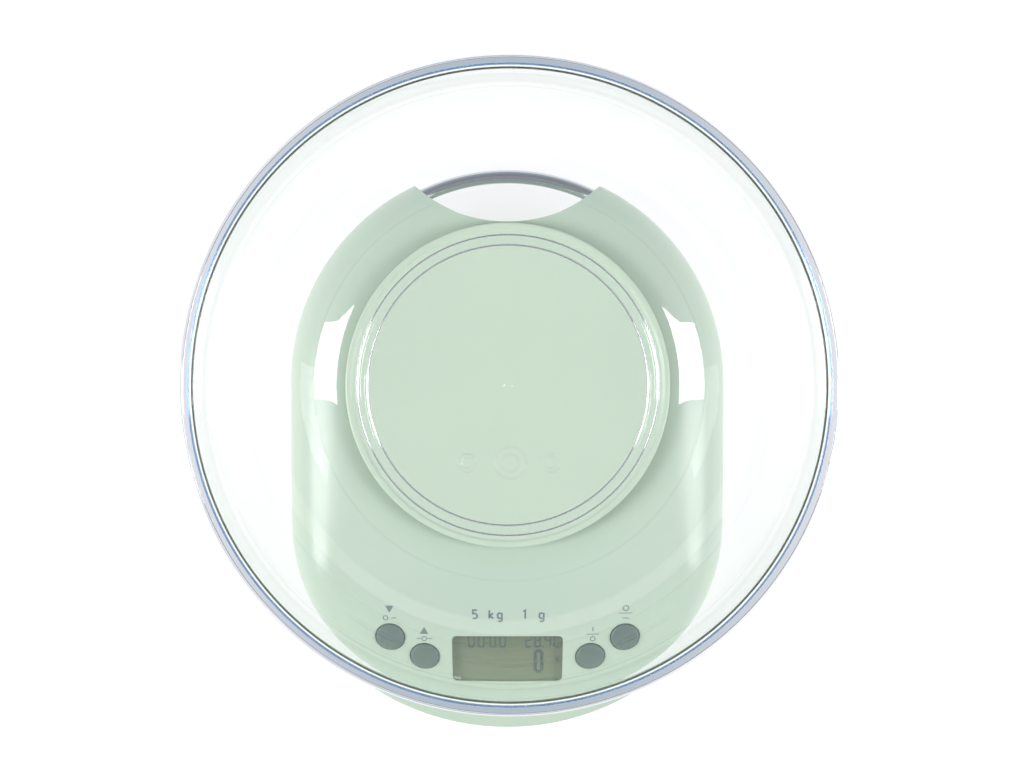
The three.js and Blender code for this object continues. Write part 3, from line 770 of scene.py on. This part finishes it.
def prisms(name, outlines, z, thick, matrix):
    """Flat shapes, each a thin closed prism."""
    vertices, faces = [], []
    for outline in outlines:
        start = len(vertices)
        count = len(outline)
        points = [Vector((x, y, 0)) for x, y in outline]
        for height in (z, z + thick):
            vertices += [(p.x, p.y, height) for p in points]
        for a, b, c in tessellate_polygon([points]):
            faces.append((start + c, start + b, start + a))
            faces.append((start + count + a, start + count + b, start + count + c))
        for k in range(count):
            n = (k + 1) % count
            faces.append((start + k, start + n, start + count + n, start + count + k))
    obj = new_mesh(name, vertices, faces, matrix)
    bm = bmesh.new()
    bm.from_mesh(obj.data)
    bmesh.ops.recalc_face_normals(bm, faces=bm.faces)
    bm.to_mesh(obj.data)
    bm.free()
    return obj


def print_plate(name, outlines):
    """Printing on the panel."""
    finished(prisms(name, outlines, 0.015, 0.02, PANEL), "housing", "grey_plastic", PRINT_INK)


def bar_outline(x, y, width, height):
    return [
        (x - width / 2, y - height / 2),
        (x + width / 2, y - height / 2),
        (x + width / 2, y + height / 2),
        (x - width / 2, y + height / 2),
    ]


def arc_outline(x, y, radius, line, start, stop, steps=24):
    """A ring or part of one, as one closed outline."""
    angles = [math.radians(start + (stop - start) * k / steps) for k in range(steps + 1)]

    def edge(reach):
        return [(x + reach * math.cos(a), y + reach * math.sin(a)) for a in angles]

    return edge(radius + line / 2) + edge(radius - line / 2)[::-1]


def panel_y(y):
    """A place seen from above, in millimetres in front of the platform's axis, along the panel."""
    return (y - PANEL_CENTRE_Y) / math.cos(PANEL_SLOPE)


def ribbon(points, line):
    """A pen stroke through the points, as one closed outline with mitred corners."""
    points = [Vector(p) for p in points]
    left, right = [], []
    for k, point in enumerate(points):
        before = (point - points[k - 1]).normalized() if k > 0 else None
        after = (points[k + 1] - point).normalized() if k + 1 < len(points) else None
        along = ((before or after) + (after or before)).normalized()
        across = Vector((-along.y, along.x))
        spread = line / 2 / max(0.5, along.dot(before or after))
        left.append(tuple(point + across * spread))
        right.append(tuple(point - across * spread))
    return left + right[::-1]


PEN = {
    "5": [[(1.9, 3.6), (0.2, 3.6), (0.2, 2.1), (1.3, 2.1), (1.9, 1.5), (1.9, 0.6), (1.3, 0), (0.1, 0)]],
    "1": [[(0.3, 2.9), (1.1, 3.6), (1.1, 0)]],
    "k": [[(0.1, 3.6), (0.1, 0)], [(1.6, 2.3), (0.3, 1.2), (1.7, 0)]],
    "g": [[(1.4, 2.3), (0.5, 2.3), (0.1, 1.8), (0.1, 0.6), (0.5, 0.1), (1.4, 0.1)],
          [(1.8, 2.5), (1.8, -0.8), (1.4, -1.2), (0.2, -1.2)]],
}


def build_label():
    """The capacity and the division, pen-drawn above the display: generic wording only."""
    advance = 3.35
    text = "5 kg  1 g"
    left = -advance * (len(text) - 1) / 2 - 0.7
    foot = panel_y(-93.6)
    outlines = []
    for k, figure in enumerate(text):
        for stroke in PEN.get(figure, []):
            outlines.append(ribbon([(left + advance * k + x, foot + y) for x, y in stroke], 0.75))
    print_plate("capacity_label", outlines)


def build_prints():
    unit_x, tare_x, power_x, set_x = [x for x, _ in BUTTONS.values()]
    line = 0.4
    print_plate("unit_mark", [
        triangle(unit_x, panel_y(-89.9), 3.4, True),
        arc_outline(unit_x - 1.6, panel_y(-93.7), 0.95, line, 0, 359),
        bar_outline(unit_x + 1.8, panel_y(-93.7), 2.0, line),
    ])
    print_plate("tare_mark", [
        triangle(tare_x, panel_y(-98.9), 3.4, False),
        bar_outline(tare_x - 2.2, panel_y(-102.3), 1.6, line),
        arc_outline(tare_x, panel_y(-102.3), 0.95, line, 0, 359),
        bar_outline(tare_x + 2.2, panel_y(-102.3), 1.6, line),
    ])
    print_plate("power_mark", [
        bar_outline(power_x + 0.8, panel_y(-98.2), line, 2.0),
        bar_outline(power_x + 0.8, panel_y(-100.4), 5.2, line * 0.8),
        arc_outline(power_x + 0.8, panel_y(-102.4), 0.95, line, 0, 359),
    ])
    print_plate("set_mark", [
        arc_outline(set_x, panel_y(-89.5), 1.1, line, 0, 359),
        bar_outline(set_x, panel_y(-91.6), 5.2, line * 0.8),
        bar_outline(set_x, panel_y(-93.7), 2.6, line),
    ])


def build_bowl_marks():
    """Three faint rings moulded on the floor of the bowl."""
    floor = BOWL_UNDERSIDE + BOWL_WALL
    for k, (x, radius) in enumerate(((-16.0, 3.6), (1.0, 6.2), (17.0, 3.6)), 1):
        rings = [arc_outline(x, -30.5, reach, 0.8, 0, 359, 40) for reach in (radius, radius * 0.55)]
        mark = prisms(f"moulded_ring_{k}", rings, floor + 0.01, 0.3, UPRIGHT)
        eased(mark, 0.12)
        finished(mark, "bowl", "clear_plastic")


# ------------------------------------------------------------------ feet, screws and the rest
def build_feet():
    for name in ("foot_back_right", "foot_back_left", "foot_front_right", "foot_front_left"):
        low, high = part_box(name)
        x = (low.x + high.x) / 2 / MM
        y = ((low.y + high.y) / 2 - AXIS_Y) / MM
        radius = (high.x - low.x) / 2 / MM
        top = high.z / MM
        profile = softened(
            [
                (0, 0.35, 0),
                (radius - 2.6, 0.35, 0.3),
                (radius - 3.0, 0, 0.2),
                (radius - 0.6, 0, 0.6),
                (radius, 1.4, 0.4),
                (radius, top, 0.4),
                (0, top, 0),
            ]
        )
        pad = spin(f"{name}_pad", profile, 64, x, y)
        finished(pad, "housing", "rubber_feet", replaced=[name])


def paint_frame_nodes():
    """Every CAD node that stays gets its slot's material."""
    slots = {part["node"]: part["material_slot"] for part in frame["record"]["subparts"]}
    for name, node in frame["nodes"].items():
        node.data.materials.clear()
        node.data.materials.append(MATERIALS[slots[name]])
        node.data.shade_smooth()
        node.data.set_sharp_from_angle(angle=math.radians(32))


# ------------------------------------------------------------------ studio
def build_floor():
    """A floor lit mostly by its own glow, so that it stays white inside the cut-out too."""
    far = 3000
    corners = [(-far, -far, 0), (far, -far, 0), (far, far, 0), (-far, far, 0)]
    floor = new_mesh("studio_floor", corners, [(0, 1, 2, 3)])
    paint = Paint("studio_floor", (0.24, 0.24, 0.24), 0.6)
    paint.vary_roughness(3, 0.55, 0.65)
    socket(paint.shader, "Emission Color", (1.0, 1.0, 1.0, 1.0))
    socket(paint.shader, "Emission Strength", 0.82)
    floor.data.materials.append(paint.material)


def build_world():
    """Blue-grey surroundings, greyer overhead and paler to the left and right."""
    world = bpy.data.worlds.new("studio")
    bpy.context.scene.world = world
    world.use_nodes = True
    tree = world.node_tree
    direction = tree.nodes.new("ShaderNodeTexCoord")
    split = tree.nodes.new("ShaderNodeSeparateXYZ")
    tree.links.new(direction.outputs["Generated"], split.inputs["Vector"])
    height = tree.nodes.new("ShaderNodeValToRGB")
    height.color_ramp.elements[0].position = 0.3
    height.color_ramp.elements[0].color = (0.45, 0.52, 0.60, 1.0)
    height.color_ramp.elements[1].position = 0.75
    height.color_ramp.elements[1].color = (0.28, 0.29, 0.30, 1.0)
    tree.links.new(split.outputs["Z"], height.inputs["Fac"])
    sideways = tree.nodes.new("ShaderNodeMath")
    sideways.operation = "MULTIPLY"
    tree.links.new(split.outputs["X"], sideways.inputs[0])
    tree.links.new(split.outputs["X"], sideways.inputs[1])
    walls = tree.nodes.new("ShaderNodeMixRGB")
    walls.inputs["Color2"].default_value = (0.80, 0.81, 0.85, 1.0)
    tree.links.new(sideways.outputs["Value"], walls.inputs["Fac"])
    tree.links.new(height.outputs["Color"], walls.inputs["Color1"])
    tree.links.new(walls.outputs["Color"], tree.nodes["Background"].inputs["Color"])


def build_softboxes():
    """Two softboxes at the sides, a little in front of the scale, the left one stronger."""
    aim = Vector((0, SOFTBOX_Y, 0.03))
    for name, side, power in (("left_box", -1, 14.6), ("right_box", 1, 11.8)):
        light = bpy.data.lights.new(name, "AREA")
        light.shape = "RECTANGLE"
        light.size, light.size_y = SOFTBOX_SIZE
        light.energy = power
        obj = bpy.data.objects.new(name, light)
        obj.location = (side * SOFTBOX_AWAY, SOFTBOX_Y, SOFTBOX_HEIGHT)
        obj.rotation_euler = (aim - obj.location).to_track_quat("-Z", "Y").to_euler()
        bpy.context.scene.collection.objects.link(obj)


def build_camera():
    """Straight above, a little left of the middle, framed by a small sideways shift."""
    camera = bpy.data.cameras.new("camera")
    camera.sensor_width = 36
    camera.lens = 112.5
    camera.shift_x = 0.031
    camera.clip_start = 0.05
    camera.clip_end = 20
    obj = bpy.data.objects.new("camera", camera)
    obj.location = (-0.0108, AXIS_Y + 0.0004, 1.3)
    bpy.context.scene.collection.objects.link(obj)
    bpy.context.scene.camera = obj
    bpy.context.scene.view_settings.view_transform = "Standard"


def allow_many_bounces():
    """Light that runs along inside the clear plastic needs many turns to find its way out."""
    cycles = bpy.context.scene.cycles
    cycles.max_bounces = CLEAR_PLASTIC_BOUNCES
    cycles.transmission_bounces = CLEAR_PLASTIC_BOUNCES
    cycles.glossy_bounces = CLEAR_PLASTIC_BOUNCES


build_camera()
allow_many_bounces()
paint_frame_nodes()
build_upper_housing()
build_bar()
build_platform()
build_bowl()
build_buttons()
build_display()
build_figures()
build_prints()
build_label()
build_bowl_marks()
build_feet()
build_floor()
build_world()
build_softboxes()
